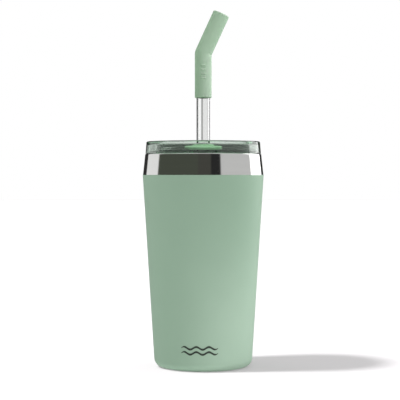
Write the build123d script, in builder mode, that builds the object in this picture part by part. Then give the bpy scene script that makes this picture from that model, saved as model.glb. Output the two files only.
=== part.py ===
from build123d import *

import math
import os

# Insulated tumbler: a double-wall steel cup, a clear press-in lid, and a glass straw with a soft bent
# mouthpiece. The origin is the centre of the ring that the cup stands on. +Z is up, -Y is the front, and the
# mouthpiece leans to +X. Lengths are millimetres and angles are degrees.

os.makedirs("parts", exist_ok=True)

# Cup, outside
shoulder_diameter = 90.0  # over the coat, the widest place
shoulder_height = 142.4
foot_corner_diameter = 72.4  # where the wall's line, over the coat, would meet the floor
base_corner_radius = 6.3
shoulder_edge_radius = 1.5
rim_diameter = 86.3
rim_height = 157.9
coat_thickness = 0.2
steel = 0.5  # every pressed steel wall
foot_inner_radius = 27.5
foot_inner_edge_radius = 1.0
foot_height = 2.2

# Cup, inside
mouth_radius = 40.2
liner_shoulder_radius = 40.0
liner_floor_radius = 31.8
liner_floor_height = 9.0
liner_floor_corner = 8.0
liner_shoulder_bend = 12.0
lip_corner = 1.3
lip_outer_corner = 0.65

# Lid
lid_gap = 0.15  # lid over the cup's lip
lid_top_height = 167.2
lid_top_radius = 42.2
skirt_radius = 42.95
lid_wall = 2.2
skirt_wall = 2.0
lid_edge_radius = 1.0
lid_inside_corner = 0.8
pan_radius = 33.6
pan_floor_height = 159.2
pan_corner_radius = 1.2
plug_radius = 35.6
plug_bottom_height = 149.8
seal_groove_depth = 0.7
seal_bottom_height = 150.9
seal_height = 4.8
seal_body_radius = 37.8
seal_lip_radius = 39.8
vent_radius = 0.9
vent_offset = -23.0  # along X, on the side away from the drinking end

# Straw, its seal and its mouthpiece
straw_radius = 5.0
straw_wall = 1.0
straw_length = 212.5
straw_floor_gap = 4.5
straw_end_radius = 0.4
sliding_gap = 0.05
straw_seal_hole_radius = 7.0
straw_seal_neck_gap = 0.1
straw_seal_flange_radius = 14.0
straw_seal_lower_radius = 9.2
straw_seal_height = 3.9
socket_end_gap = 0.2
mouthpiece_radius = 6.25
mouthpiece_bottom = 199.5
bend_height = 232.8
bend_angle = 24.7
bend_radius = 8.0
tilted_length = 32.4
mouth_edge_radius = 0.8
grip_rib_height = 0.25
grip_rib_width = 0.9
grip_rib_sweep = 34.0
grip_rib_pitch = 3.2
grip_rib_count = 4
first_rib_height = 214.0

# Worked out from the above
shell_shoulder_radius = shoulder_diameter / 2 - coat_thickness
shell_base_radius = foot_corner_diameter / 2 - coat_thickness
shell_base_corner = base_corner_radius - coat_thickness
lip_middle_radius = (rim_diameter / 2 + mouth_radius) / 2
pan_underside = pan_floor_height - lid_wall
straw_bottom = liner_floor_height + straw_floor_gap
straw_top = straw_bottom + straw_length


# ---------------------------------------------------------------- vacuum cup

# Outer shell: one pressing, from the crown of the lip, down the wall, round the foot ring and up inside it.
with BuildPart() as outer_shell:
    with BuildSketch(Plane.XZ):
        with BuildLine():
            FilletPolyline(
                (lip_middle_radius, rim_height),
                (rim_diameter / 2, rim_height),
                (shell_shoulder_radius, shoulder_height),
                (shell_base_radius, 0),
                (foot_inner_radius, 0),
                (foot_inner_radius, foot_height),
                radius=[lip_outer_corner, shoulder_edge_radius, shell_base_corner, foot_inner_edge_radius],
            )
            offset(amount=steel, side=Side.RIGHT)
        make_face()
    revolve(axis=Axis.Z)
outer_shell.part.label = "outer_shell"
export_step(outer_shell.part, "parts/outer_shell.step")

# Powder coat: a skin from the shoulder down and round the base corner. It stops just short of the floor.
coat_floor_gap = 0.1
with BuildPart() as powder_coat:
    with BuildSketch(Plane.XZ):
        with BuildLine():
            FilletPolyline(
                (shell_shoulder_radius, shoulder_height),
                (shell_base_radius, 0),
                (foot_inner_radius, 0),
                radius=[shell_base_corner],
            )
            offset(amount=coat_thickness, side=Side.LEFT)
        make_face()
    revolve(axis=Axis.Z)
    split(bisect_by=Plane.XY.offset(coat_floor_gap), keep=Keep.TOP)
powder_coat.part.label = "powder_coat"
export_step(powder_coat.part, "parts/powder_coat.step")

# Inner liner: the drinking cup, joined to the shell along the crown of the lip.
with BuildPart() as inner_liner:
    with BuildSketch(Plane.XZ):
        with BuildLine():
            FilletPolyline(
                (lip_middle_radius, rim_height),
                (mouth_radius, rim_height),
                (liner_shoulder_radius, shoulder_height),
                (liner_floor_radius, liner_floor_height),
                (0, liner_floor_height),
                radius=[lip_corner, liner_shoulder_bend, liner_floor_corner],
            )
            offset(amount=steel, side=Side.LEFT)
        make_face()
    revolve(axis=Axis.Z)
inner_liner.part.label = "inner_liner"
export_step(inner_liner.part, "parts/inner_liner.step")

# Base plate: the pressed disc that closes the vacuum, with a dimple for the hole the air is drawn through.
dimple_radius = 6.5
dimple_depth = 1.5
dimple_slant = 1.0
evacuation_hole_radius = 0.8
flange_bottom = 0.8
flange_bend = 0.7
dimple_outer_bend = 0.6
dimple_inner_bend = 0.3
with BuildPart() as base_plate:
    with BuildSketch(Plane.XZ):
        with BuildLine():
            FilletPolyline(
                (foot_inner_radius, flange_bottom),
                (foot_inner_radius, foot_height),
                (dimple_radius + dimple_slant, foot_height),
                (dimple_radius, foot_height + dimple_depth),
                (evacuation_hole_radius, foot_height + dimple_depth),
                radius=[flange_bend, dimple_outer_bend, dimple_inner_bend],
            )
            offset(amount=steel, side=Side.LEFT)
        make_face()
    revolve(axis=Axis.Z)
base_plate.part.label = "base_plate"
export_step(base_plate.part, "parts/base_plate.step")

# Vacuum seal bead: fills the evacuation hole from below, inside the dimple.
bead_radius = 2.6
bead_height = 1.2
bead_edge_radius = 1.1
dimple_ceiling = foot_height + dimple_depth - steel
with BuildPart() as vacuum_seal_bead:
    with BuildSketch(Plane.XZ):
        with BuildLine():
            FilletPolyline(
                (0, foot_height + dimple_depth),
                (evacuation_hole_radius, foot_height + dimple_depth),
                (evacuation_hole_radius, dimple_ceiling),
                (bead_radius, dimple_ceiling),
                (bead_radius, dimple_ceiling - bead_height),
                (0, dimple_ceiling - bead_height),
                radius=[0, 0, 0, bead_edge_radius],
            )
            Line((0, dimple_ceiling - bead_height), (0, foot_height + dimple_depth))
        make_face()
    revolve(axis=Axis.Z)
vacuum_seal_bead.part.label = "vacuum_seal_bead"
export_step(vacuum_seal_bead.part, "parts/vacuum_seal_bead.step")

# Getter: a pellet in a shallow steel holder that stands on the base plate inside the vacuum.
getter_offset = 16.0
getter_radius = 4.0
getter_height = 1.8
getter_edge_radius = 0.5
holder_wall = 0.3
with BuildPart() as getter_holder:
    with BuildSketch(Plane.XY.offset(foot_height)):
        with Locations((getter_offset, 0)):
            Circle(getter_radius + holder_wall)
    extrude(amount=getter_height)
    with BuildSketch(Plane.XY.offset(foot_height + holder_wall)):
        with Locations((getter_offset, 0)):
            Circle(getter_radius)
    extrude(amount=getter_height, mode=Mode.SUBTRACT)
getter_holder.part.label = "getter_holder"
export_step(getter_holder.part, "parts/getter_holder.step")

with BuildPart() as getter_pellet:
    with BuildSketch(Plane.XY.offset(foot_height + holder_wall)):
        with Locations((getter_offset, 0)):
            Circle(getter_radius)
    extrude(amount=getter_height)
    fillet(getter_pellet.edges().group_by(Axis.Z)[-1], radius=getter_edge_radius)
getter_pellet.part.label = "getter_pellet"
export_step(getter_pellet.part, "parts/getter_pellet.step")

# Base cover: the brushed disc that hides the dimple, with a rolled ring pressed into it.
cover_top = foot_height - steel
cover_thickness = 0.5
cover_side_gap = 0.1
cover_radius = foot_inner_radius - steel - cover_side_gap
cover_groove_radius = 18.0
cover_groove_width = 1.2
cover_groove_depth = 0.2
cover_edge = 0.15
with BuildPart() as base_cover:
    with BuildSketch(Plane.XY.offset(cover_top - cover_thickness)):
        Circle(cover_radius)
    extrude(amount=cover_thickness)
    chamfer(base_cover.edges(), length=cover_edge)
    with BuildSketch(Plane.XY.offset(cover_top - cover_thickness)):
        Circle(cover_groove_radius)
        Circle(cover_groove_radius - cover_groove_width, mode=Mode.SUBTRACT)
    extrude(amount=cover_groove_depth, mode=Mode.SUBTRACT)
base_cover.part.label = "base_cover"
export_step(base_cover.part, "parts/base_cover.step")

# ---------------------------------------------------------------- lid

# Lid shell: a clear moulding. A ring and skirt stand on the lip, a plug goes into the mouth, and the pan lies
# between.
skirt_bottom = rim_height + lid_gap
ring_underside = lid_top_height - lid_wall
skirt_inner_radius = skirt_radius - skirt_wall
plug_inner_radius = plug_radius - lid_wall
groove_floor_radius = plug_radius - seal_groove_depth
seal_top = seal_bottom_height + seal_height
with BuildPart() as lid_shell:
    with BuildSketch(Plane.XZ):
        with BuildLine():
            FilletPolyline(
                (skirt_radius, skirt_bottom),
                (lid_top_radius, lid_top_height),
                (pan_radius, lid_top_height),
                (plug_inner_radius, pan_floor_height),
                (straw_seal_hole_radius, pan_floor_height),
                (straw_seal_hole_radius, pan_underside),
                (plug_inner_radius, pan_underside),
                (plug_inner_radius, plug_bottom_height),
                (plug_radius, plug_bottom_height),
                (plug_radius, seal_bottom_height),
                (groove_floor_radius, seal_bottom_height),
                (groove_floor_radius, seal_top),
                (plug_radius, seal_top),
                (plug_radius, ring_underside),
                (skirt_inner_radius, ring_underside),
                (skirt_inner_radius, skirt_bottom),
                radius=[0, lid_edge_radius, lid_edge_radius, pan_corner_radius, 0, 0, lid_inside_corner]
                + [0] * 7 + [lid_inside_corner, 0],
                close=True,
            )
        make_face()
    revolve(axis=Axis.Z)
    with Locations((vent_offset, 0, pan_floor_height)):
        Hole(radius=vent_radius, depth=lid_wall)
lid_shell.part.label = "lid_shell"
export_step(lid_shell.part, "parts/lid_shell.step")

# Lid seal: a silicone ring in the plug's groove, with two lips that press on the liner.
seal_lip_setback = 0.7  # from the ring's face to the tip
seal_lip_thickness = 0.9
seal_lip_root = 1.9  # from the ring's face to the far side of the lip's root
seal_face_edge = 0.5
seal_tip_edge = 0.35
seal_root_corner = 0.3
with BuildPart() as lid_seal:
    with BuildSketch(Plane.XZ):
        with BuildLine():
            FilletPolyline(
                (groove_floor_radius, seal_bottom_height),
                (seal_body_radius, seal_bottom_height),
                (seal_lip_radius, seal_bottom_height + seal_lip_setback),
                (seal_lip_radius, seal_bottom_height + seal_lip_setback + seal_lip_thickness),
                (seal_body_radius, seal_bottom_height + seal_lip_root),
                (seal_body_radius, seal_top - seal_lip_root),
                (seal_lip_radius, seal_top - seal_lip_setback - seal_lip_thickness),
                (seal_lip_radius, seal_top - seal_lip_setback),
                (seal_body_radius, seal_top),
                (groove_floor_radius, seal_top),
                radius=[0, seal_face_edge, seal_tip_edge, seal_tip_edge, seal_root_corner]
                + [seal_root_corner, seal_tip_edge, seal_tip_edge, seal_face_edge, 0],
                close=True,
            )
        make_face()
    revolve(axis=Axis.Z)
lid_seal.part.label = "lid_seal"
export_step(lid_seal.part, "parts/lid_seal.step")

# ---------------------------------------------------------------- straw

# Straw seal: a silicone bush that snaps into the pan's hole and turns there with the straw.
bush_bore_radius = straw_radius + sliding_gap
bush_top = pan_floor_height + straw_seal_height
bush_neck_radius = straw_seal_hole_radius - straw_seal_neck_gap
bush_bottom = pan_underside - 2.2
bush_bottom_radius = bush_bore_radius + 2.4
collar_radius = bush_bore_radius + 2.2
collar_foot_radius = bush_bore_radius + 3.0
collar_foot = bush_top - 1.2
flange_edge = bush_top - 1.6
with BuildPart() as straw_seal:
    with BuildSketch(Plane.XZ):
        with BuildLine():
            FilletPolyline(
                (bush_bore_radius, bush_top),
                (collar_radius, bush_top),
                (collar_foot_radius, collar_foot),
                (straw_seal_flange_radius, flange_edge),
                (straw_seal_flange_radius, pan_floor_height + straw_seal_neck_gap),
                (bush_neck_radius, pan_floor_height + straw_seal_neck_gap),
                (bush_neck_radius, pan_underside - straw_seal_neck_gap),
                (straw_seal_lower_radius, pan_underside - straw_seal_neck_gap),
                (bush_bottom_radius, bush_bottom),
                (bush_bore_radius, bush_bottom),
                radius=[0.3, 0.6, 0.8, 0.9, 0.3, 0, 0, 0.5, 0.4, 0.3],
                close=True,
            )
        make_face()
    revolve(axis=Axis.Z)
straw_seal.part.label = "straw_seal"
export_step(straw_seal.part, "parts/straw_seal.step")

# Straw: a glass tube with fire-polished ends.
with BuildPart() as straw:
    with BuildSketch(Plane.XY.offset(straw_bottom)):
        Circle(straw_radius)
        Circle(straw_radius - straw_wall, mode=Mode.SUBTRACT)
    extrude(amount=straw_length)
    ends = straw.edges().group_by(Axis.Z)[0] + straw.edges().group_by(Axis.Z)[-1]
    fillet(ends, radius=straw_end_radius)
straw.part.label = "straw"
export_step(straw.part, "parts/straw.step")

# Mouthpiece: a silicone tube that pushes over the straw up to an inside step, with a bent drinking end.
tilt = math.radians(bend_angle)
mouth_centre = (tilted_length * math.sin(tilt), bend_height + tilted_length * math.cos(tilt))
socket_top = straw_top + socket_end_gap
rib_root = 0.55  # how far a rib's section reaches into the tube's wall
rib_start = -90 - grip_rib_sweep / 2
with BuildPart() as mouthpiece:
    with BuildLine(Plane.XZ) as bent_path:
        FilletPolyline((0, mouthpiece_bottom), (0, bend_height), mouth_centre, radius=bend_radius)
    with BuildSketch(Plane.XY.offset(mouthpiece_bottom)):
        Circle(mouthpiece_radius)
    sweep(path=bent_path.line)
    fillet(mouthpiece.edges().group_by(Axis.Z)[0], radius=mouth_edge_radius)
    mouth_plane = Plane(
        origin=(mouth_centre[0], 0, mouth_centre[1]), z_dir=(math.sin(tilt), 0, math.cos(tilt))
    )
    mouth_rim = mouthpiece.edges().filter_by(GeomType.CIRCLE).sort_by_distance(mouth_plane.origin)[0]
    fillet(mouth_rim, radius=mouth_edge_radius)
    for rib in range(grip_rib_count):
        rib_height = first_rib_height + rib * grip_rib_pitch
        with BuildSketch(Plane.XZ.rotated((0, 0, rib_start))):
            with Locations((mouthpiece_radius - rib_root, rib_height)):
                Rectangle(rib_root + grip_rib_height, grip_rib_width, align=(Align.MIN, Align.CENTER))
        revolve(axis=Axis.Z, revolution_arc=grip_rib_sweep)
    with BuildSketch(Plane.XY.offset(mouthpiece_bottom)):
        Circle(straw_radius - straw_wall)
    sweep(path=bent_path.line, mode=Mode.SUBTRACT)
    with BuildSketch(Plane.XY.offset(mouthpiece_bottom)):
        Circle(straw_radius + sliding_gap)
    extrude(amount=socket_top - mouthpiece_bottom, mode=Mode.SUBTRACT)
mouthpiece.part.label = "mouthpiece"
export_step(mouthpiece.part, "parts/mouthpiece.step")
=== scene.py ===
"""Insulated tumbler: smooth turned and swept pieces, their materials, a pale floor and studio light.

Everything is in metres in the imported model's frame: +Z up, -Y the front, and the mouthpiece leans to +X.
"""

import math

import bpy
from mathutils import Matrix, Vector


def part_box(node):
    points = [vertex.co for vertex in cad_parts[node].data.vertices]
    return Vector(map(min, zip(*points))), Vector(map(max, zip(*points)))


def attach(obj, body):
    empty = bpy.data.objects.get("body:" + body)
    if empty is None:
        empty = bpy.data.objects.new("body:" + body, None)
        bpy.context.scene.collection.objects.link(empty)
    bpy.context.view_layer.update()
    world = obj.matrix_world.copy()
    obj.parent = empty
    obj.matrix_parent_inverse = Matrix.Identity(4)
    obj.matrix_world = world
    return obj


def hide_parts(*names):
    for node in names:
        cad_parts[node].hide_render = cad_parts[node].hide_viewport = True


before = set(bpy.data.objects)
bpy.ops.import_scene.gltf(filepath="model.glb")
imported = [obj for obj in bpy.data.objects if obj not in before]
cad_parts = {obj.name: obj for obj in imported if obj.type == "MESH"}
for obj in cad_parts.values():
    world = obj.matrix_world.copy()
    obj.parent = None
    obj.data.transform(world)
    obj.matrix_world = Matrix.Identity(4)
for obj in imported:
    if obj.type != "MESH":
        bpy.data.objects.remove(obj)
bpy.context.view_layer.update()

MM = 0.001
TURN = 2 * math.pi

# ---------------------------------------------------------------- sizes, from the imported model

_, shell_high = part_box("outer_shell")
_, coat_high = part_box("powder_coat")
liner_low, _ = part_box("inner_liner")
cover_low, cover_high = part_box("base_cover")
lid_low, lid_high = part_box("lid_shell")
seal_low, seal_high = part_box("lid_seal")
bush_low, bush_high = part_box("straw_seal")
straw_low, straw_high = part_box("straw")
mouthpiece_low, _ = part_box("mouthpiece")

steel_wall = 0.5 * MM
coat_wall = 0.2 * MM
rim_height = shell_high.z
rim_radius = 43.15 * MM
mouth_radius = 40.2 * MM
lip_middle = (rim_radius + mouth_radius) / 2
lip_corner = 0.65 * MM
shoulder_height = coat_high.z
shoulder_radius = coat_high.x
base_line_radius = 36.2 * MM  # where the coat's straight side would meet the floor
base_corner = 6.3 * MM
foot_radius = 27.5 * MM
foot_height = 2.2 * MM
liner_shoulder_radius = 40.0 * MM
liner_floor_radius = 31.8 * MM
liner_floor = liner_low.z + steel_wall

lid_wall = 2.2 * MM
pan_height = 159.2 * MM

straw_radius = straw_high.x
bore_radius = 4.0 * MM
sliding_gap = 0.05 * MM

# The colour sockets of Blender's Mix node, which share their names with its other sockets.
MIX_FIRST = 6
MIX_SECOND = 7
MIX_RESULT = 2

# ---------------------------------------------------------------- mesh helpers


def arc_points(before, here, after, fillet):
    """Points of the arc that rounds the corner at here, between its two neighbours."""
    longest_step = math.radians(9)
    to_before = (before - here).normalized()
    to_after = (after - here).normalized()
    half = to_before.angle(to_after) / 2
    run = fillet / math.tan(half)
    centre = here + (to_before + to_after).normalized() * fillet / math.sin(half)
    start = here + to_before * run - centre
    end = here + to_after * run - centre
    sweep = start.angle_signed(end)
    count = max(2, math.ceil(abs(sweep) / longest_step))
    points = []
    for index in range(count + 1):
        angle = -sweep * index / count
        turned = Vector((
            start.x * math.cos(angle) - start.y * math.sin(angle),
            start.x * math.sin(angle) + start.y * math.cos(angle),
        ))
        points.append(centre + turned)
    return points


def rounded(corners, closed=True):
    """An outline of (radius, height) points from corners of (radius, height, fillet)."""
    places = [Vector(corner[:2]) for corner in corners]
    count = len(places)
    outline = []
    for index, here in enumerate(places):
        fillet = corners[index][2]
        at_end = not closed and index in (0, count - 1)
        if fillet == 0 or at_end:
            outline.append(here)
        else:
            outline += arc_points(places[index - 1], here, places[(index + 1) % count], fillet)
    return outline


def split_long_runs(outline, longest, closed=True):
    """Adds points so that no run of the outline is longer than longest."""
    count = len(outline)
    result = []
    for index, here in enumerate(outline):
        result.append(here)
        if index == count - 1 and not closed:
            break
        after = outline[(index + 1) % count]
        pieces = math.ceil((after - here).length / longest)
        for piece in range(1, pieces):
            result.append(here.lerp(after, piece / pieces))
    return result


def new_object(name, vertices, faces):
    """A smooth-shaded mesh object whose sharp corners stay sharp."""
    sharp_angle = math.radians(35)
    mesh = bpy.data.meshes.new(name)
    mesh.from_pydata(vertices, [], faces)
    mesh.validate()
    mesh.shade_smooth()
    mesh.set_sharp_from_angle(angle=sharp_angle)
    made = bpy.data.objects.new(name, mesh)
    bpy.context.scene.collection.objects.link(made)
    return made


def grid_faces(rows, columns, close_rows=True):
    """Faces between neighbouring rows, each a closed ring of points. The last row may join the first."""
    faces = []
    for row in range(rows if close_rows else rows - 1):
        below = row * columns
        above = ((row + 1) % rows) * columns
        for column in range(columns):
            beside = (column + 1) % columns
            faces.append((below + column, below + beside, above + beside, above + column))
    return faces


def lathe(name, outline, segments=192, on_axis=False):
    """Turns an outline round Z into a ring or, on_axis, into a body with its outline's ends as poles."""
    ring_outline = outline[1:-1] if on_axis else outline
    vertices = []
    for point in ring_outline:
        for segment in range(segments):
            angle = TURN * segment / segments
            vertices.append((point.x * math.cos(angle), point.x * math.sin(angle), point.y))
    rows = len(ring_outline)
    faces = grid_faces(rows, segments, close_rows=not on_axis)
    if on_axis:
        first_pole = len(vertices)
        vertices.append((0, 0, outline[0].y))
        vertices.append((0, 0, outline[-1].y))
        last_row = (rows - 1) * segments
        for segment in range(segments):
            beside = (segment + 1) % segments
            faces.append((first_pole, beside, segment))
            faces.append((first_pole + 1, last_row + segment, last_row + beside))
    return new_object(name, vertices, faces)


def keep_flats_flat(piece):
    """Gives large faces' normals the most weight, so that fillets don't shade the faces beside them."""
    modifier = piece.modifiers.new("flat_faces", "WEIGHTED_NORMAL")
    modifier.keep_sharp = True


# ---------------------------------------------------------------- material helpers


class Shader:
    """A node material with its Principled shader, and short calls for the nodes that materials share.

    The shader's sockets are given by name, with underscores for spaces.
    """

    def __init__(self, name, **sockets):
        self.material = bpy.data.materials.new(name)
        self.material.use_nodes = True
        self.nodes = self.material.node_tree.nodes
        self.links = self.material.node_tree.links
        self.surface = self.nodes["Principled BSDF"]
        self.position = self.nodes.new("ShaderNodeTexCoord").outputs["Object"]
        for socket, value in sockets.items():
            self.surface.inputs[socket.replace("_", " ")].default_value = value

    def add(self, kind, **settings):
        node = self.nodes.new(kind)
        for key, value in settings.items():
            setattr(node, key, value)
        return node

    def link(self, source, target):
        self.links.new(source, target)

    def noise(self, scale, detail=2.0, vector=None):
        """Noise of that many features a metre."""
        node = self.add("ShaderNodeTexNoise")
        node.inputs["Scale"].default_value = scale
        node.inputs["Detail"].default_value = detail
        self.link(vector or self.position, node.inputs["Vector"])
        return node.outputs["Fac"]

    def remap(self, source, low, high):
        """Turns a factor from 0 to 1 into a value from low to high."""
        node = self.add("ShaderNodeMapRange")
        node.inputs["To Min"].default_value = low
        node.inputs["To Max"].default_value = high
        self.link(source, node.inputs["Value"])
        return node.outputs["Result"]

    def mix(self, factor, first, second):
        """A colour between first and second."""
        node = self.add("ShaderNodeMix", data_type="RGBA")
        self.link(factor, node.inputs["Factor"])
        node.inputs[MIX_FIRST].default_value = (*first, 1)
        node.inputs[MIX_SECOND].default_value = (*second, 1)
        return node.outputs[MIX_RESULT]

    def bump(self, source, strength, distance, under=None):
        """Bump from a factor, over another bump if one is given."""
        node = self.add("ShaderNodeBump")
        node.inputs["Strength"].default_value = strength
        node.inputs["Distance"].default_value = distance
        self.link(source, node.inputs["Height"])
        if under:
            self.link(under, node.inputs["Normal"])
        return node.outputs["Normal"]

    def ring_vector(self, along):
        """Coordinates that follow circles round Z, where a whole radian counts as no more than along mm.

        Noise on them is drawn out into lines along the circles.
        """
        split = self.add("ShaderNodeSeparateXYZ")
        self.link(self.position, split.inputs["Vector"])
        angle = self.add("ShaderNodeMath", operation="ARCTAN2")
        self.link(split.outputs["Y"], angle.inputs[0])
        self.link(split.outputs["X"], angle.inputs[1])
        drawn = self.add("ShaderNodeMath", operation="MULTIPLY")
        drawn.inputs[1].default_value = along * MM
        self.link(angle.outputs[0], drawn.inputs[0])
        flat = self.add("ShaderNodeCombineXYZ")
        self.link(split.outputs["X"], flat.inputs["X"])
        self.link(split.outputs["Y"], flat.inputs["Y"])
        length = self.add("ShaderNodeVectorMath", operation="LENGTH")
        self.link(flat.outputs[0], length.inputs[0])
        ring = self.add("ShaderNodeCombineXYZ")
        self.link(length.outputs["Value"], ring.inputs["X"])
        self.link(drawn.outputs[0], ring.inputs["Y"])
        self.link(split.outputs["Z"], ring.inputs["Z"])
        return ring.outputs[0]

    def colour(self, source):
        self.link(source, self.surface.inputs["Base Color"])

    def roughness(self, source):
        self.link(source, self.surface.inputs["Roughness"])

    def normal(self, source):
        self.link(source, self.surface.inputs["Normal"])

    def dress(self, *pieces):
        """Puts the material on each piece, in place of what it had."""
        for piece in pieces:
            piece.data.materials.clear()
            piece.data.materials.append(self.material)


def srgb(red, green, blue):
    """A display colour, 0 to 255, as linear light, by the sRGB standard's formula."""
    channels = (red / 255, green / 255, blue / 255)
    return tuple(c / 12.92 if c <= 0.04045 else ((c + 0.055) / 1.055) ** 2.4 for c in channels)


# ---------------------------------------------------------------- materials


def powder_coat_material():
    """Fine matte powder coat: tiny orange-peel bumps and barely uneven colour."""
    coat = Shader("sage_powder_coat", Specular_IOR_Level=0.35)
    cloud = coat.noise(60, detail=3)
    coat.colour(coat.mix(cloud, srgb(150, 181, 157), srgb(154, 185, 161)))
    grain = coat.noise(1500, detail=2)
    coat.roughness(coat.remap(grain, 0.5, 0.62))
    peel = coat.bump(coat.noise(900, detail=1), 0.12, 0.06 * MM)
    coat.normal(coat.bump(grain, 0.1, 0.03 * MM, under=peel))
    return coat


def polished_steel_material():
    """Bright polished steel with hairline marks round the cup."""
    steel = Shader("polished_steel", Metallic=1.0)
    ring = steel.ring_vector(along=2.0)
    hairline = steel.noise(9000, detail=2, vector=ring)
    steel.colour(steel.mix(steel.noise(300, vector=ring), (0.78, 0.78, 0.765), (0.84, 0.84, 0.825)))
    steel.roughness(steel.remap(hairline, 0.05, 0.11))
    steel.normal(steel.bump(hairline, 0.04, 0.004 * MM))
    return steel


def brushed_steel_material(name, rough):
    """Satin steel with circular brushing."""
    steel = Shader(name, Metallic=1.0)
    ring = steel.ring_vector(along=3.0)
    brushing = steel.noise(6000, detail=3, vector=ring)
    steel.colour(steel.mix(steel.noise(700, vector=ring), (0.6, 0.6, 0.585), (0.72, 0.72, 0.705)))
    steel.roughness(steel.remap(brushing, rough - 0.06, rough + 0.08))
    steel.normal(steel.bump(brushing, 0.25, 0.012 * MM))
    return steel


def clear_plastic_material():
    """Clear glossy copolyester with a faint green body and very slight moulding waves."""
    plastic = Shader("clear_green_plastic", IOR=1.54, Roughness=0.02, Transmission_Weight=1.0)
    wave = plastic.noise(70, detail=1)
    plastic.colour(plastic.mix(wave, (0.93, 0.985, 0.945), (0.95, 0.99, 0.96)))
    plastic.normal(plastic.bump(wave, 0.12, 0.25 * MM))
    absorption = plastic.add("ShaderNodeVolumeAbsorption")
    absorption.inputs["Color"].default_value = (0.4, 0.78, 0.5, 1)
    absorption.inputs["Density"].default_value = 60
    plastic.link(absorption.outputs["Volume"], plastic.nodes["Material Output"].inputs["Volume"])
    return plastic


def glass_material():
    """Clear glass, painted darker where it is seen edge on: painted shade for the dark rims a glass tube
    shows.
    """
    glass = Shader("straw_glass", IOR=1.47, Roughness=0.0, Transmission_Weight=1.0)
    edge = glass.add("ShaderNodeLayerWeight")
    edge.inputs["Blend"].default_value = 0.35
    # Painted shade: the colour turns grey towards the edges seen edge on.
    glass.colour(glass.mix(edge.outputs["Facing"], (0.98, 0.985, 0.98), (0.72, 0.73, 0.73)))
    return glass


def silicone_material(name, light, dark):
    """Soft matte silicone with a little light in its body and a fine moulded grain."""
    silicone = Shader(
        name,
        Specular_IOR_Level=0.3,
        Subsurface_Weight=0.25,
        Subsurface_Radius=(0.8, 1.0, 0.85),
        Subsurface_Scale=1.2 * MM,
    )
    silicone.colour(silicone.mix(silicone.noise(120, detail=2), dark, light))
    grain = silicone.noise(2500, detail=2)
    silicone.roughness(silicone.remap(grain, 0.58, 0.72))
    silicone.normal(silicone.bump(grain, 0.08, 0.02 * MM))
    return silicone


def print_material():
    """Dark printed ink, slightly uneven."""
    ink = Shader("dark_print")
    cover = ink.noise(900, detail=3)
    ink.colour(ink.mix(cover, srgb(43, 54, 45), srgb(52, 64, 54)))
    ink.roughness(ink.remap(cover, 0.4, 0.55))
    ink.normal(ink.bump(cover, 0.1, 0.01 * MM))
    return ink


def hidden_material(name, first, second, rough):
    """A plain uneven finish for the pieces inside the vacuum."""
    finish = Shader(name)
    patch = finish.noise(1200, detail=3)
    finish.colour(finish.mix(patch, first, second))
    finish.roughness(finish.remap(patch, rough - 0.08, rough + 0.08))
    finish.normal(finish.bump(patch, 0.2, 0.03 * MM))
    return finish


def floor_material():
    """Plain pale floor, a shade less green to cancel the green light that the cup bounces into its shadow.
    Painted darker in whatever mirrors it, as a painted reflection, and with a painted glow that only matte
    surfaces meet.
    """
    floor = Shader("pale_floor", Roughness=0.9, Specular_IOR_Level=0.0, Emission_Color=(1, 1, 1, 1))
    # A shade less green than grey: painted light that cancels the green the cup bounces into its shadow.
    pale = floor.mix(floor.noise(4), (0.3, 0.2925, 0.2975), (0.3025, 0.295, 0.3))
    # Painted reflection: glossy rays see the floor this much darker, so the steel mirrors a dim floor.
    painted_reflection_grey = (0.113, 0.113, 0.11)
    ray = floor.add("ShaderNodeLightPath")
    shown = floor.mix(ray.outputs["Is Glossy Ray"], painted_reflection_grey, painted_reflection_grey)
    floor.link(pale, shown.node.inputs[MIX_FIRST])
    floor.colour(shown)
    # Painted glow: the floor gives off light to diffuse rays only, a painted bounce that lights the cup
    # from below.
    glow = floor.remap(ray.outputs["Is Diffuse Ray"], 0.0, 0.2)
    floor.link(glow, floor.surface.inputs["Emission Strength"])
    return floor


polished_steel = polished_steel_material()
liner_steel = brushed_steel_material("liner_steel", 0.42)
base_steel = brushed_steel_material("base_steel", 0.3)
sage_coat = powder_coat_material()
clear_plastic = clear_plastic_material()
straw_glass = glass_material()
soft_silicone = silicone_material("sage_silicone", srgb(157, 190, 159), srgb(152, 186, 154))
# The same silicone as the mouthpiece, painted darker: painted shade for the seal ring and the bush, which
# sit in the lid.
shade_darkened_silicone = silicone_material("shade_darkened_silicone", srgb(140, 178, 142), srgb(132, 171, 134))
dark_print = print_material()
seal_glass = hidden_material("seal_glass", (0.1, 0.1, 0.09), (0.16, 0.16, 0.15), 0.3)
getter_metal = hidden_material("getter_metal", (0.07, 0.07, 0.07), (0.13, 0.13, 0.13), 0.7)

# ---------------------------------------------------------------- cup


def outer_shell():
    """The steel shell: outer half of the lip, bare band, wall, base corner and foot ring."""
    shell_shoulder = shoulder_radius - coat_wall
    shell_base = base_line_radius - coat_wall
    foot_inner = foot_radius + steel_wall
    outside = rounded(
        [
            (lip_middle, rim_height, 0),
            (rim_radius, rim_height, lip_corner),
            (shell_shoulder, shoulder_height, 1.5 * MM),
            (shell_base, 0, base_corner - coat_wall),
            (foot_radius, 0, 1.0 * MM),
            (foot_radius, foot_height, 0),
        ],
        closed=False,
    )
    inside = rounded(
        [
            (foot_inner, foot_height, 0),
            (foot_inner, steel_wall, 0.5 * MM),
            (shell_base - steel_wall, steel_wall, base_corner - coat_wall - steel_wall),
            (shell_shoulder - steel_wall, shoulder_height, 1.0 * MM),
            (rim_radius - steel_wall, rim_height - steel_wall, lip_corner - steel_wall),
            (lip_middle, rim_height - steel_wall, 0),
        ],
        closed=False,
    )
    piece = lathe("steel_shell", split_long_runs(outside + inside, 12 * MM), segments=256)
    keep_flats_flat(piece)
    polished_steel.dress(piece)
    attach(piece, "vessel")
    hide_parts("outer_shell")
    return piece


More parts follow.
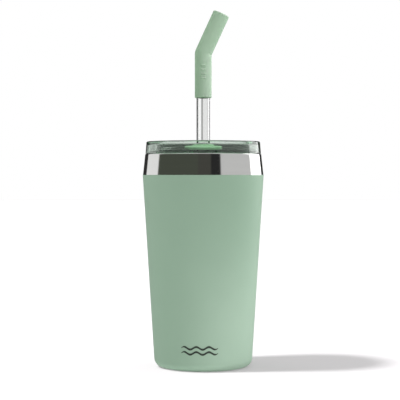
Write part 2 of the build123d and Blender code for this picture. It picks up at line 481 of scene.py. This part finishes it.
def powder_coat():
    """The coat, with a softly rounded edge where it stops under the bare band."""
    edge_fillet = 0.17 * MM
    coat_end = foot_radius + 2.5 * MM
    outline = rounded([
        (shoulder_radius - coat_wall, shoulder_height, 0),
        (shoulder_radius, shoulder_height, edge_fillet),
        (base_line_radius, 0, base_corner),
        (coat_end, 0, 0),
        (coat_end, coat_wall, 0),
        (base_line_radius - coat_wall, coat_wall, base_corner - coat_wall),
    ])
    piece = lathe("coat", split_long_runs(outline, 12 * MM), segments=256)
    keep_flats_flat(piece)
    sage_coat.dress(piece)
    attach(piece, "vessel")
    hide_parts("powder_coat")
    return piece


def inner_liner():
    """The drinking cup: flat floor, round corner, slanting wall and the inner half of the lip."""
    shoulder_bend = 12.0 * MM
    inside = rounded(
        [
            (0, liner_floor, 0),
            (liner_floor_radius, liner_floor, 8.0 * MM),
            (liner_shoulder_radius, shoulder_height, shoulder_bend),
            (mouth_radius, rim_height, 1.3 * MM),
            (lip_middle, rim_height, 0),
        ],
        closed=False,
    )
    outside = rounded(
        [
            (lip_middle, rim_height - steel_wall, 0),
            (mouth_radius + steel_wall, rim_height - steel_wall, 0.8 * MM),
            (liner_shoulder_radius + steel_wall, shoulder_height, shoulder_bend),
            (liner_floor_radius + steel_wall, liner_floor - steel_wall, 8.5 * MM),
            (0, liner_floor - steel_wall, 0),
        ],
        closed=False,
    )
    outline = split_long_runs(inside + outside, 12 * MM, closed=False)
    piece = lathe("drinking_cup", outline, segments=256, on_axis=True)
    keep_flats_flat(piece)
    liner_steel.dress(piece)
    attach(piece, "vessel")
    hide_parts("inner_liner")
    return piece


def base_cover():
    """The brushed base disc, with one pressed ring and a slightly dished middle."""
    radius = cover_high.x
    low, high = cover_low.z, cover_high.z
    dish_depth = 0.15 * MM
    dish_radius = 9.0 * MM
    dish_floor_radius = 6.0 * MM
    dish_bend = 6.0 * MM
    groove_depth = 0.2 * MM
    groove_inner = 16.8 * MM
    groove_outer = 18.0 * MM
    groove_slant = 0.2 * MM
    press_bend = 0.2 * MM
    outline = rounded(
        [
            (0, low + dish_depth, 0),
            (dish_floor_radius, low + dish_depth, dish_bend),
            (dish_radius, low, dish_bend),
            (groove_inner, low, press_bend),
            (groove_inner + groove_slant, low + groove_depth, press_bend),
            (groove_outer - groove_slant, low + groove_depth, press_bend),
            (groove_outer, low, press_bend),
            (radius, low, press_bend),
            (radius, high, 0.1 * MM),
            (0, high, 0),
        ],
        closed=False,
    )
    outline = split_long_runs(outline, 4 * MM, closed=False)
    piece = lathe("base_disc", outline, segments=192, on_axis=True)
    keep_flats_flat(piece)
    base_steel.dress(piece)
    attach(piece, "vessel")
    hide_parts("base_cover")
    return piece


def wave_print():
    """Two short wave lines printed on the front, near the base.

    Each is a quarter of its width at its ends, and has its full width from an eighth of its length on.
    """
    width = 27.4 * MM
    line_width = 1.5 * MM
    swing = 0.95 * MM
    waves = 3
    middle = Vector((-2.7 * MM, 15.9 * MM))
    spacing = 3.7 * MM
    lift = 0.02 * MM
    ink = 0.05 * MM
    end_width = 0.25
    widening = 6
    steps = 90
    section = ((0, -1), (1, -1), (1, 1), (0, 1))
    sides = len(section)
    slope = (shoulder_radius - base_line_radius) / shoulder_height
    vertices, faces = [], []
    for row in (-0.5, 0.5):
        first = len(vertices)
        for step in range(steps + 1):
            along = (step / steps - 0.5) * width
            line_height = middle.y + row * spacing + swing * math.sin(TURN * waves * step / steps)
            taper = min(1.0, widening * min(step, steps - step) / steps + end_width)
            for proud, side in section:
                height = line_height + side * line_width * taper / 2
                radius = base_line_radius + slope * height + lift + proud * ink
                angle = (middle.x + along) / radius
                vertices.append((radius * math.sin(angle), -radius * math.cos(angle), height))
        for step in range(steps):
            here = first + sides * step
            after = here + sides
            for corner in range(sides):
                beside = (corner + 1) % sides
                faces.append((here + corner, here + beside, after + beside, after + corner))
        last = first + sides * steps
        faces.append(tuple(range(first + sides - 1, first - 1, -1)))
        faces.append(tuple(range(last, last + sides)))
    piece = new_object("wave_print", vertices, faces)
    dark_print.dress(piece)
    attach(piece, "vessel")
    return piece


# ---------------------------------------------------------------- lid


def lid_outline():
    """The clear lid's section: skirt, ring, pan and plug with the seal's groove."""
    bottom, top = lid_low.z, lid_high.z
    ring_outer = 42.2 * MM
    ring_inner = 33.6 * MM
    under_ring = top - lid_wall
    skirt_radius = 42.95 * MM
    skirt_inner = skirt_radius - 2.0 * MM
    skirt_bottom = rim_height + 0.15 * MM
    plug_radius = 35.6 * MM
    plug_inner = plug_radius - lid_wall
    groove_radius = plug_radius - 0.7 * MM
    groove_fillet = 0.1 * MM
    hole_radius = 7.0 * MM
    pan_under = pan_height - lid_wall
    return rounded([
        (skirt_radius, skirt_bottom, 0.4 * MM),
        (ring_outer, top, 1.0 * MM),
        (ring_inner, top, 1.0 * MM),
        (plug_inner, pan_height, 1.2 * MM),
        (hole_radius, pan_height, 0.3 * MM),
        (hole_radius, pan_under, 0.3 * MM),
        (plug_inner, pan_under, 0.8 * MM),
        (plug_inner, bottom, 0.5 * MM),
        (plug_radius, bottom, 0.5 * MM),
        (plug_radius, seal_low.z, groove_fillet),
        (groove_radius, seal_low.z, groove_fillet),
        (groove_radius, seal_high.z, groove_fillet),
        (plug_radius, seal_high.z, groove_fillet),
        (plug_radius, under_ring, 0.8 * MM),
        (skirt_inner, under_ring, 0.8 * MM),
        (skirt_inner, skirt_bottom, 0.4 * MM),
    ])


def lid_shell():
    """The clear moulded lid, with its vent cut through the pan."""
    piece = lathe("clear_lid", split_long_runs(lid_outline(), 6 * MM), segments=192)
    clear_plastic.dress(piece)
    vent_radius = 0.9 * MM
    drill_reach = 2 * MM
    drill_outline = rounded(
        [
            (0, -drill_reach, 0),
            (vent_radius, -drill_reach, 0),
            (vent_radius, drill_reach, 0),
            (0, drill_reach, 0),
        ],
        closed=False,
    )
    drill = lathe("vent_drill", drill_outline, segments=32, on_axis=True)
    drill.location = Vector((-23.0 * MM, 0, pan_height - lid_wall / 2))
    cut = piece.modifiers.new("vent", "BOOLEAN")
    cut.object = drill
    cut.operation = "DIFFERENCE"
    cut.solver = "EXACT"
    bpy.context.view_layer.update()
    drilled = piece.evaluated_get(bpy.context.evaluated_depsgraph_get())
    drilled_mesh = bpy.data.meshes.new_from_object(drilled)
    piece.modifiers.clear()
    piece.data = drilled_mesh
    bpy.data.objects.remove(drill)
    keep_flats_flat(piece)
    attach(piece, "lid")
    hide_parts("lid_shell")


def lid_seal():
    """The plug's silicone ring with its two soft lips."""
    body = 37.8 * MM
    tip = seal_high.x
    back = 34.9 * MM
    low, high = seal_low.z, seal_high.z
    tip_start = 0.7 * MM
    tip_end = 1.6 * MM
    lip_end = 1.9 * MM
    tip_fillet = 0.35 * MM
    outline = rounded([
        (back, low, 0),
        (body, low, 0.5 * MM),
        (tip, low + tip_start, tip_fillet),
        (tip, low + tip_end, tip_fillet),
        (body, low + lip_end, 0.3 * MM),
        (body, high - lip_end, 0.3 * MM),
        (tip, high - tip_end, tip_fillet),
        (tip, high - tip_start, tip_fillet),
        (body, high, 0.5 * MM),
        (back, high, 0),
    ])
    piece = lathe("seal_ring", outline)
    shade_darkened_silicone.dress(piece)
    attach(piece, "lid")
    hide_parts("lid_seal")


# ---------------------------------------------------------------- straw


def straw_seal():
    """The soft bush in the pan's hole, with a low collar round the straw."""
    bore = straw_radius + sliding_gap
    bottom, top = bush_low.z, bush_high.z
    gap = 0.1 * MM
    neck_top = pan_height + gap
    neck_bottom = pan_height - lid_wall - gap
    neck_radius = 6.9 * MM
    collar_top_radius = bore + 2.2 * MM
    collar_foot_radius = bore + 3.0 * MM
    collar_foot = top - 1.2 * MM
    flange_radius = bush_high.x
    flange_top = top - 1.6 * MM
    barb_radius = 9.2 * MM
    barb_tip_radius = bore + 2.4 * MM
    outline = rounded([
        (bore, top, 0.3 * MM),
        (collar_top_radius, top, 0.6 * MM),
        (collar_foot_radius, collar_foot, 0.8 * MM),
        (flange_radius, flange_top, 0.9 * MM),
        (flange_radius, neck_top, 0.3 * MM),
        (neck_radius, neck_top, 0),
        (neck_radius, neck_bottom, 0),
        (barb_radius, neck_bottom, 0.5 * MM),
        (barb_tip_radius, bottom, 0.4 * MM),
        (bore, bottom, 0.3 * MM),
    ])
    piece = lathe("straw_bush", outline, segments=128)
    keep_flats_flat(piece)
    shade_darkened_silicone.dress(piece)
    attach(piece, "straw_seal")
    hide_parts("straw_seal")
    return piece


def straw():
    """The glass tube, with fire-polished ends."""
    melt = 0.45 * MM
    outline = rounded([
        (straw_radius, straw_low.z, melt),
        (straw_radius, straw_high.z, melt),
        (bore_radius, straw_high.z, melt),
        (bore_radius, straw_low.z, melt),
    ])
    piece = lathe("glass_straw", split_long_runs(outline, 20 * MM), segments=128)
    straw_glass.dress(piece)
    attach(piece, "straw")
    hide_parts("straw")


class BentTube:
    """Maps a place in the mouthpiece's wall, given as radius, length along it and angle, to a point.

    The tube is straight below the bend and straight above it. Within the bend's reach, each line along
    it turns in an arc of its own: tight on the inside of the bend and wide on the outside.
    """

    def __init__(self, bend_height, bend_angle, reach, tight, wide):
        self.bend_height = bend_height
        self.bend_angle = bend_angle
        self.reach = reach
        self.tight = tight
        self.wide = wide
        self.axis = Vector((math.sin(bend_angle), 0, math.cos(bend_angle)))
        self.across = Vector((math.cos(bend_angle), 0, -math.sin(bend_angle)))

    def below(self, radius, along, angle):
        """A point of the upright part."""
        return Vector((radius * math.cos(angle), radius * math.sin(angle), along))

    def above(self, radius, along, angle):
        """A point of the slanting part."""
        bend = Vector((0, 0, self.bend_height))
        side = self.across * radius * math.cos(angle) + Vector((0, radius * math.sin(angle), 0))
        return bend + side + self.axis * (along - self.bend_height)

    def point(self, radius, along, angle):
        """A point of the tube: on either straight part or on the arc between them."""
        past = along - self.bend_height
        if past <= -self.reach:
            return self.below(radius, along, angle)
        if past >= self.reach:
            return self.above(radius, along, angle)
        inward = math.cos(angle)
        half = self.bend_angle / 2
        mitre = radius * inward * math.tan(half)
        turn_radius = self.tight + (self.wide - self.tight) * (1 - inward) / 2
        run = turn_radius * math.tan(half)
        first = self.reach - mitre - run
        turn = turn_radius * self.bend_angle
        travelled = (past + self.reach) / (2 * self.reach) * (2 * first + turn)
        if travelled < first:
            return self.below(radius, self.bend_height - self.reach + travelled, angle)
        if travelled > first + turn:
            left = 2 * first + turn - travelled
            return self.above(radius, self.bend_height + self.reach - left, angle)
        turned = (travelled - first) / turn_radius
        start = self.below(radius, self.bend_height - mitre - run, angle)
        return start + turn_radius * Vector((1 - math.cos(turned), 0, math.sin(turned)))


def rib_rise(along, angle):
    """How far the four grip ribs on the front lift the mouthpiece's wall at that length and angle."""
    lowest = 214.0 * MM
    pitch = 3.2 * MM
    count = 4
    rise = 0.28 * MM
    half_width = 0.55 * MM
    half_angle = math.radians(19)
    soft_end = math.radians(5)
    fullness = 0.7
    front = 0.75 * TURN
    nearest = round((along - lowest) / pitch)
    offset = abs(along - lowest - nearest * pitch) / half_width
    if offset >= 1 or not 0 <= nearest < count:
        return 0.0
    fade = min(1.0, max(0.0, (half_angle - abs(angle - front)) / soft_end))
    smooth_fade = fade * fade * (3 - 2 * fade)
    return rise * smooth_fade * math.cos(offset * math.pi / 2) ** fullness


def mouthpiece():
    """The soft bent tube, with a socket for the straw, a bore through to the mouth, and grip ribs."""
    outer = -mouthpiece_low.x
    bottom = mouthpiece_low.z
    bend_height = 232.8 * MM
    length = bend_height + 32.4 * MM
    socket_radius = straw_radius + sliding_gap
    socket_top = straw_high.z + 0.2 * MM
    tube = BentTube(bend_height, math.radians(24.7), reach=5.0 * MM, tight=1.4 * MM, wide=9.0 * MM)
    outline = rounded([
        (outer, bottom, 0.8 * MM),
        (outer, length, 0.8 * MM),
        (bore_radius, length, 0.5 * MM),
        (bore_radius, socket_top, 0.1 * MM),
        (socket_radius, socket_top, 0.1 * MM),
        (socket_radius, bottom, 0.5 * MM),
    ])
    outline = split_long_runs(outline, 0.3 * MM)
    hair = 0.01 * MM
    segments = 144
    vertices = []
    for place in outline:
        on_outside = place.x > outer - hair
        for segment in range(segments):
            angle = TURN * segment / segments
            rise = rib_rise(place.y, angle) if on_outside else 0.0
            vertices.append(tube.point(place.x + rise, place.y, angle))
    piece = new_object("soft_mouthpiece", vertices, grid_faces(len(outline), segments))
    soft_silicone.dress(piece)
    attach(piece, "mouthpiece")
    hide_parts("mouthpiece")
    return piece


# ---------------------------------------------------------------- stage


def make_floor():
    """A wide round floor just under the cup, with finer rings near it."""
    edge = 6.0
    thickness = 10 * MM
    clear_of_foot = 0.02 * MM
    outline = [Vector((radius, 0)) for radius in (0, 0.3, 1.0, edge)]
    outline += [Vector((edge, -thickness)), Vector((0, -thickness))]
    floor = lathe("floor", outline, segments=96, on_axis=True)
    floor.location.z = -clear_of_foot
    floor.visible_transmission = False
    floor_material().dress(floor)
    return floor


def collection_of(name, members):
    """A collection that only says which objects a light treats."""
    made = bpy.data.collections.new(name)
    for member in members:
        made.objects.link(member)
    return made


def make_light(name, kind, place, lit, **settings):
    """A light at a place, aimed at the world's origin, that lights only the objects lit."""
    light = bpy.data.lights.new(name, kind)
    for key, value in settings.items():
        setattr(light, key, value)
    lamp = bpy.data.objects.new(name, light)
    lamp.rotation_mode = "QUATERNION"
    lamp.rotation_quaternion = (-place).to_track_quat("-Z", "Y")
    lamp.location = place
    lamp.light_linking.receiver_collection = collection_of(name + "_lit", lit)
    bpy.context.scene.collection.objects.link(lamp)
    return lamp


def only_shaded_by(lamp, blockers):
    """Lets only these objects cast that light's shadows."""
    lamp.light_linking.blocker_collection = collection_of(lamp.name + "_shaded", blockers)


def towards(bearing_degrees, elevation_degrees):
    """The direction from the cup to a place: bearing from the front, positive to the right."""
    bearing = math.radians(bearing_degrees)
    elevation = math.radians(elevation_degrees)
    return Vector((
        math.sin(bearing) * math.cos(elevation),
        -math.cos(bearing) * math.cos(elevation),
        math.sin(elevation),
    ))


def make_lights(floor, cup, mouth, bush):
    """Two suns for the floor, a low fill for the cup, and a sun each for the mouthpiece and the bush.

    The key casts the cup's shadow on the floor, and the wash lightens the floor evenly, shadow and all.
    """
    key = make_light("key", "SUN", towards(-79, 57.5), [floor], energy=6.2, angle=math.radians(8))
    only_shaded_by(key, cup)
    wash = make_light("wash", "SUN", towards(0, 90), [floor], energy=3.03)
    only_shaded_by(wash, [floor])

    fill_distance = 0.22
    fill_height = 5 * MM
    fill = make_light("fill", "AREA", towards(45, 0) * fill_distance, cup, energy=0.025, size=0.08)
    fill.data.spread = math.radians(55)
    fill.data.color = (1.0, 0.74, 0.9)
    fill.location.z = fill_height
    fill.visible_camera = False
    fill.visible_glossy = False

    side = make_light("side", "SUN", towards(60, 56), [mouth], energy=2.85, angle=math.radians(42))
    side.data.color = (1.0, 0.66, 0.96)
    top = make_light("top", "SUN", towards(25, 55), [bush], energy=2.0, angle=math.radians(18))
    only_shaded_by(top, [bush])


class Sky:
    """The world's nodes: each ray's kind and direction, and short calls for the light that it meets."""

    def __init__(self, world):
        self.nodes = world.node_tree.nodes
        self.links = world.node_tree.links
        self.ray = self.nodes.new("ShaderNodeLightPath").outputs
        direction = self.nodes.new("ShaderNodeTexCoord").outputs["Generated"]
        split = self.nodes.new("ShaderNodeSeparateXYZ")
        self.links.new(direction, split.inputs["Vector"])
        towards_front = self.value("MULTIPLY", split.outputs["Y"], -1.0)
        self.bearing = self.value("DEGREES", self.value("ARCTAN2", split.outputs["X"], towards_front))
        self.elevation = self.value("DEGREES", self.value("ARCSINE", split.outputs["Z"]))

    def value(self, operation, first, second=None):
        """Arithmetic on one or two numbers or sockets."""
        node = self.nodes.new("ShaderNodeMath")
        node.operation = operation
        for socket, given in zip(node.inputs, (first, second)):
            if given is None:
                continue
            if isinstance(given, (int, float)):
                socket.default_value = given
            else:
                self.links.new(given, socket)
        return node.outputs[0]

    def choose(self, factor, off, on):
        """The colour off where the factor is 0, and on where it is 1."""
        node = self.nodes.new("ShaderNodeMix")
        node.data_type = "RGBA"
        self.links.new(factor, node.inputs["Factor"])
        for socket, given in ((node.inputs[MIX_FIRST], off), (node.inputs[MIX_SECOND], on)):
            if isinstance(given, tuple):
                socket.default_value = (*given, 1)
            else:
                self.links.new(given, socket)
        return node.outputs[MIX_RESULT]

    def above(self, limit, source, low_colour, high_colour):
        """The high colour where the source is above the limit, and the low colour elsewhere."""
        return self.choose(self.value("GREATER_THAN", source, limit), low_colour, high_colour)

    def cards(self, angle, end, cards, soft_edge):
        """Bands of colour along an angle from -end to end degrees, given by their starts and colours."""
        ramp = self.nodes.new("ShaderNodeValToRGB")
        elements = ramp.color_ramp.elements
        elements.remove(elements[-1])
        elements[0].position = 0.0
        elements[0].color = (*cards[0][1], 1)
        for (_, before), (start, colour) in zip(cards, cards[1:]):
            for degrees, shown in ((start - soft_edge, before), (start + soft_edge, colour)):
                element = elements.new((degrees + end) / (2 * end))
                element.color = (*shown, 1)
        along = self.value("DIVIDE", self.value("SUBTRACT", angle, -end), 2 * end)
        self.links.new(along, ramp.inputs["Fac"])
        return ramp.outputs["Color"]

    def round_cards(self, cards, soft_edge):
        """Upright cards round the cup, by bearing from the front, positive to the right."""
        return self.cards(self.bearing, 180, cards, soft_edge)

    def level_cards(self, cards, soft_edge):
        """Cards one above the other, by elevation over the horizon."""
        return self.cards(self.elevation, 90, cards, soft_edge)


def grey(level):
    return (level, level, level)


def open_studio(sky):
    """What lights the cup and shows in its steel: cards, and a ceiling that is dimmer in the steel than in
    the light it gives.
    """
    ceiling_edge = 45
    walls = sky.round_cards(
        [
            (-180, grey(0.03)),
            (-139, grey(0.85)),
            (-97, (0.066, 0.074, 0.058)),
            (-10, (0.062, 0.062, 0.054)),
            (15, grey(0.024)),
            (34, grey(0.58)),
            (105, grey(3.0)),
            (146, grey(0.03)),
        ],
        0.8,
    )
    ceiling = sky.choose(sky.ray["Is Glossy Ray"], grey(1.55), grey(0.8))
    return sky.above(ceiling_edge, sky.elevation, walls, ceiling)


def behind_one_wall(sky):
    """Through a single wall, which such a ray has mostly run along inside."""
    low = sky.round_cards([(-180, grey(0.6)), (0, grey(0.25))], 5.0)
    level = sky.round_cards([(-180, grey(0.04)), (118, grey(1.8)), (139, grey(0.04))], 0.8)
    high = grey(0.75)
    return sky.above(20, sky.elevation, sky.above(1.5, sky.elevation, low, level), high)


def behind_two_walls(sky):
    """Through two walls, such as the near and far sides of the straw or of the lid's skirt."""
    # Pale straight behind the cup and on its right, then a thin dark strip on its left and white beyond.
    backdrop = sky.round_cards(
        [
            (-180, grey(0.86)),
            (-179.5, grey(0.22)),
            (-177.1, grey(1.12)),
            (150, grey(0.86)),
        ],
        0.25,
    )
    # Just below the horizon: a floor that is dim straight behind the cup, and less so on its right.
    low_backdrop = sky.round_cards([(-180, grey(0.3)), (-166, grey(0.9)), (166, grey(0.42))], 2.0)
    # Further up: a dark strip and then a white ceiling. Further down: a pale floor.
    steep = sky.level_cards([(-90, grey(0.85)), (0, grey(0.04)), (32, grey(1.0))], 0.3)
    middle = -1.5
    half_height = 10.5
    off_middle = sky.value("ABSOLUTE", sky.value("SUBTRACT", sky.elevation, middle))
    return sky.above(half_height, off_middle, sky.above(0, sky.elevation, low_backdrop, backdrop), steep)


def behind_three_walls(sky):
    """Through three walls, or more than four: dark, with a bright strip of floor behind the cup."""
    straight_behind = sky.level_cards(
        [
            (-90, grey(0.8)),
            (-30, grey(0.06)),
            (-12, (1.35, 0.97, 1.24)),
            (-4.2, grey(0.05)),
            (14, grey(0.08)),
        ],
        0.3,
    )
    return sky.above(156, sky.value("ABSOLUTE", sky.bearing), grey(0.06), straight_behind)


def behind_four_walls(sky):
    """Through four walls, such as both sides of the skirt and of the plug: dark, over a pale floor."""
    return sky.level_cards([(-90, grey(0.8)), (-30, grey(0.05)), (14, grey(0.07))], 0.3)


def make_world():
    """A white backdrop for the camera, and a studio of grey and white cards for everything else.

    What a ray through clear pieces meets goes by how many faces it has crossed, two for each wall.
    """
    world = bpy.data.worlds.new("studio")
    bpy.context.scene.world = world
    world.use_nodes = True
    sky = Sky(world)
    crossed = sky.ray["Transmission Depth"]
    three_walls = behind_three_walls(sky)
    through = behind_one_wall(sky)
    through = sky.above(2.5, crossed, through, behind_two_walls(sky))
    through = sky.above(4.5, crossed, through, three_walls)
    through = sky.above(6.5, crossed, through, behind_four_walls(sky))
    through = sky.above(8.5, crossed, through, three_walls)
    dim_under_lid = grey(0.06)
    through = sky.above(0.5, sky.ray["Diffuse Depth"], through, dim_under_lid)
    seen = sky.choose(sky.ray["Is Transmission Ray"], open_studio(sky), through)
    backdrop = grey(1.0)
    shown = sky.choose(sky.ray["Is Camera Ray"], seen, backdrop)
    sky.links.new(shown, sky.nodes["Background"].inputs["Color"])


def make_camera():
    """A long lens at the height of the cup's shoulder, tilted a little down."""
    optics = bpy.data.cameras.new("camera")
    optics.sensor_width = 36
    optics.lens = 117.5
    camera = bpy.data.objects.new("camera", optics)
    place = Vector((0, -973 * MM, 142.6 * MM))
    target = Vector((-2.4 * MM, 0, 123.7 * MM))
    camera.location = place
    camera.rotation_mode = "QUATERNION"
    camera.rotation_quaternion = (target - place).to_track_quat("-Z", "Y")
    bpy.context.scene.collection.objects.link(camera)
    bpy.context.scene.camera = camera


# ---------------------------------------------------------------- build

cup_pieces = [outer_shell(), powder_coat(), inner_liner(), base_cover(), wave_print()]
lid_shell()
lid_seal()
straw_bush = straw_seal()
straw()
soft_tube = mouthpiece()
liner_steel.dress(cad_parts["base_plate"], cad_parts["getter_holder"])
seal_glass.dress(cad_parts["vacuum_seal_bead"])
getter_metal.dress(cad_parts["getter_pellet"])

make_lights(make_floor(), cup_pieces, soft_tube, straw_bush)
make_world()
make_camera()
bpy.context.scene.view_settings.view_transform = "Standard"
